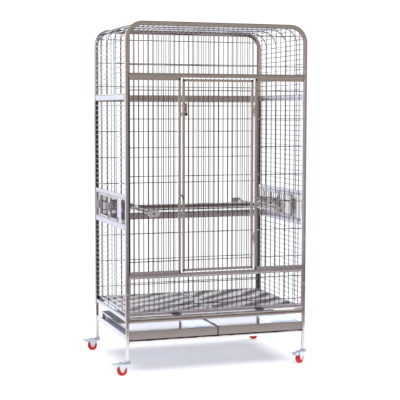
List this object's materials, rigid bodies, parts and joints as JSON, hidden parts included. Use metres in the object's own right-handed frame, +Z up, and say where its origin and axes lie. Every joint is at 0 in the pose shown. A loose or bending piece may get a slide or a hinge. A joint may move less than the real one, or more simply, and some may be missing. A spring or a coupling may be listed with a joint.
{
  "type": "bird cage on stand",
  "caption": "Tall stainless parrot cage with rounded top, hinged lockable door, swing-out feeder doors with bowls, perch, pull-out grates and trays, braked swivel casters.",
  "frame": {"origin": "on the floor under the middle of the overall bounding box, with the casters trailing to the left", "axes": "+X to the right seen from the front, +Y from the front to the back, +Z up from the floor"},
  "size_m": [1.0132, 0.6818, 1.684],
  "materials": {
    "tube": "polished stainless square and round tube",
    "wire": "polished stainless wire, spot welded",
    "sheet": "smooth stainless sheet",
    "bowl": "polished stainless bowl",
    "dark": "darker polished steel fittings",
    "zinc": "zinc-plated pressed steel",
    "red": "red moulded plastic wheel"
  },
  "bodies": {
    "cage": {"front_frame": "tube", "front_upper_grille": "wire", "front_lower_grille": "wire", "back_frame": "tube", "back_upper_grille": "wire", "back_lower_grille": "wire", "back_middle_grille": "wire", "front_left_panel": "wire", "front_right_panel": "wire", "lower_door_hinge": "tube", "upper_door_hinge": "tube", "lock_keeper": "tube", "latch_catch": "tube", "left_lower_panel": "wire", "left_upper_panel": "wire", "left_feeder_strip": "tube", "right_lower_panel": "wire", "right_upper_panel": "wire", "right_feeder_strip": "tube", "roof_panel": "wire", "left_perch_rail": "tube", "right_perch_rail": "tube", "perch": "tube", "left_tray_rail": "tube", "right_tray_rail": "tube", "centre_runner": "tube"},
    "door": {"front_door": "wire", "lock_case": "tube"},
    "bolt": {"lock_bolt": "dark"},
    "latch": {"latch_lever": "dark"},
    "left_front_feeder": {"left_front_feeder_door": "wire"},
    "left_front_bowl": {"left_front_bowl": "bowl"},
    "left_front_button": {"left_front_turn_button": "dark"},
    "left_rear_feeder": {"left_rear_feeder_door": "wire"},
    "left_rear_bowl": {"left_rear_bowl": "bowl"},
    "left_rear_button": {"left_rear_turn_button": "dark"},
    "right_front_feeder": {"right_front_feeder_door": "wire"},
    "right_front_bowl": {"right_front_bowl": "bowl"},
    "right_front_button": {"right_front_turn_button": "dark"},
    "right_rear_feeder": {"right_rear_feeder_door": "wire"},
    "right_rear_bowl": {"right_rear_bowl": "bowl"},
    "right_rear_button": {"right_rear_turn_button": "dark"},
    "left_grate": {"left_grate": "wire", "left_grate_handle": "dark"},
    "left_tray": {"left_tray": "sheet"},
    "right_grate": {"right_grate": "wire", "right_grate_handle": "dark"},
    "right_tray": {"right_tray": "sheet"},
    "front_left_caster": {"front_left_caster_fork": "zinc"},
    "front_left_wheel": {"front_left_caster_wheel": "red"},
    "front_left_pedal": {"front_left_brake_pedal": "zinc"},
    "front_right_caster": {"front_right_caster_fork": "zinc"},
    "front_right_wheel": {"front_right_caster_wheel": "red"},
    "front_right_pedal": {"front_right_brake_pedal": "zinc"},
    "rear_left_caster": {"rear_left_caster_fork": "zinc"},
    "rear_left_wheel": {"rear_left_caster_wheel": "red"},
    "rear_left_pedal": {"rear_left_brake_pedal": "zinc"},
    "rear_right_caster": {"rear_right_caster_fork": "zinc"},
    "rear_right_wheel": {"rear_right_caster_wheel": "red"},
    "rear_right_pedal": {"rear_right_brake_pedal": "zinc"}
  },
  "joints": [
    {"name": "door_swing", "type": "hinge", "parent": "cage", "child": "door", "pos_m": [0.2182, -0.3041, 0.95], "axis": [0, 0, 1], "range_deg": [0, 170]},
    {"name": "bolt_slide", "type": "slide", "parent": "door", "child": "bolt", "axis": [-1, 0, 0], "range_m": [0, 0.012]},
    {"name": "latch_turn", "type": "hinge", "parent": "door", "child": "latch", "pos_m": [-0.1435, -0.3035, 0.838], "axis": [0, -1, 0], "range_deg": [0, 60]},
    {"name": "left_front_feeder_swing", "type": "hinge", "parent": "cage", "child": "left_front_feeder", "pos_m": [-0.4335, 0.0334, 0.7815], "axis": [0, 0, -1], "range_deg": [0, 95]},
    {"name": "left_front_bowl_lift", "type": "slide", "parent": "left_front_feeder", "child": "left_front_bowl", "axis": [0, 0, 1], "range_m": [0, 0.04]},
    {"name": "left_front_button_turn", "type": "hinge", "parent": "cage", "child": "left_front_button", "pos_m": [-0.431, -0.1416, 0.74], "axis": [1, 0, 0], "range_deg": [0, 90]},
    {"name": "left_rear_feeder_swing", "type": "hinge", "parent": "cage", "child": "left_rear_feeder", "pos_m": [-0.4335, 0.2454, 0.7815], "axis": [0, 0, -1], "range_deg": [0, 95]},
    {"name": "left_rear_bowl_lift", "type": "slide", "parent": "left_rear_feeder", "child": "left_rear_bowl", "axis": [0, 0, 1], "range_m": [0, 0.04]},
    {"name": "left_rear_button_turn", "type": "hinge", "parent": "cage", "child": "left_rear_button", "pos_m": [-0.431, 0.0414, 0.74], "axis": [1, 0, 0], "range_deg": [0, 90]},
    {"name": "right_front_feeder_swing", "type": "hinge", "parent": "cage", "child": "right_front_feeder", "pos_m": [0.4985, 0.0334, 0.7815], "axis": [0, 0, 1], "range_deg": [0, 95]},
    {"name": "right_front_bowl_lift", "type": "slide", "parent": "right_front_feeder", "child": "right_front_bowl", "axis": [0, 0, 1], "range_m": [0, 0.04]},
    {"name": "right_front_button_turn", "type": "hinge", "parent": "cage", "child": "right_front_button", "pos_m": [0.496, -0.1416, 0.74], "axis": [1, 0, 0], "range_deg": [0, 90]},
    {"name": "right_rear_feeder_swing", "type": "hinge", "parent": "cage", "child": "right_rear_feeder", "pos_m": [0.4985, 0.2454, 0.7815], "axis": [0, 0, 1], "range_deg": [0, 95]},
    {"name": "right_rear_bowl_lift", "type": "slide", "parent": "right_rear_feeder", "child": "right_rear_bowl", "axis": [0, 0, 1], "range_m": [0, 0.04]},
    {"name": "right_rear_button_turn", "type": "hinge", "parent": "cage", "child": "right_rear_button", "pos_m": [0.496, 0.0414, 0.74], "axis": [1, 0, 0], "range_deg": [0, 90]},
    {"name": "left_grate_slide", "type": "slide", "parent": "cage", "child": "left_grate", "axis": [0, -1, 0], "range_m": [0, 0.56]},
    {"name": "left_tray_slide", "type": "slide", "parent": "cage", "child": "left_tray", "axis": [0, -1, 0], "range_m": [0, 0.56]},
    {"name": "right_grate_slide", "type": "slide", "parent": "cage", "child": "right_grate", "axis": [0, -1, 0], "range_m": [0, 0.56]},
    {"name": "right_tray_slide", "type": "slide", "parent": "cage", "child": "right_tray", "axis": [0, -1, 0], "range_m": [0, 0.56]},
    {"name": "front_left_caster_swivel", "type": "hinge", "parent": "cage", "child": "front_left_caster", "pos_m": [-0.4245, -0.2931, 0.063], "axis": [0, 0, 1], "continuous": true},
    {"name": "front_left_wheel_spin", "type": "hinge", "parent": "front_left_caster", "child": "front_left_wheel", "pos_m": [-0.4515, -0.2931, 0.025], "axis": [0, 1, 0], "continuous": true},
    {"name": "front_left_pedal_press", "type": "hinge", "parent": "front_left_caster", "child": "front_left_pedal", "pos_m": [-0.458, -0.2931, 0.0565], "axis": [0, -1, 0], "range_deg": [0, 15]},
    {"name": "front_right_caster_swivel", "type": "hinge", "parent": "cage", "child": "front_right_caster", "pos_m": [0.4895, -0.2931, 0.063], "axis": [0, 0, 1], "continuous": true},
    {"name": "front_right_wheel_spin", "type": "hinge", "parent": "front_right_caster", "child": "front_right_wheel", "pos_m": [0.46566, -0.30578, 0.025], "axis": [-0.4695, 0.8829, 0], "continuous": true},
    {"name": "front_right_pedal_press", "type": "hinge", "parent": "front_right_caster", "child": "front_right_pedal", "pos_m": [0.45992, -0.30883, 0.0565], "axis": [0.4695, -0.8829, 0], "range_deg": [0, 15]},
    {"name": "rear_left_caster_swivel", "type": "hinge", "parent": "cage", "child": "rear_left_caster", "pos_m": [-0.4245, 0.3249, 0.063], "axis": [0, 0, 1], "continuous": true},
    {"name": "rear_left_wheel_spin", "type": "hinge", "parent": "rear_left_caster", "child": "rear_left_wheel", "pos_m": [-0.4515, 0.3249, 0.025], "axis": [0, 1, 0], "continuous": true},
    {"name": "rear_left_pedal_press", "type": "hinge", "parent": "rear_left_caster", "child": "rear_left_pedal", "pos_m": [-0.458, 0.3249, 0.0565], "axis": [0, -1, 0], "range_deg": [0, 15]},
    {"name": "rear_right_caster_swivel", "type": "hinge", "parent": "cage", "child": "rear_right_caster", "pos_m": [0.4895, 0.3249, 0.063], "axis": [0, 0, 1], "continuous": true},
    {"name": "rear_right_wheel_spin", "type": "hinge", "parent": "rear_right_caster", "child": "rear_right_wheel", "pos_m": [0.4625, 0.3249, 0.025], "axis": [0, 1, 0], "continuous": true},
    {"name": "rear_right_pedal_press", "type": "hinge", "parent": "rear_right_caster", "child": "rear_right_pedal", "pos_m": [0.456, 0.3249, 0.0565], "axis": [0, -1, 0], "range_deg": [0, 15]}
  ]
}
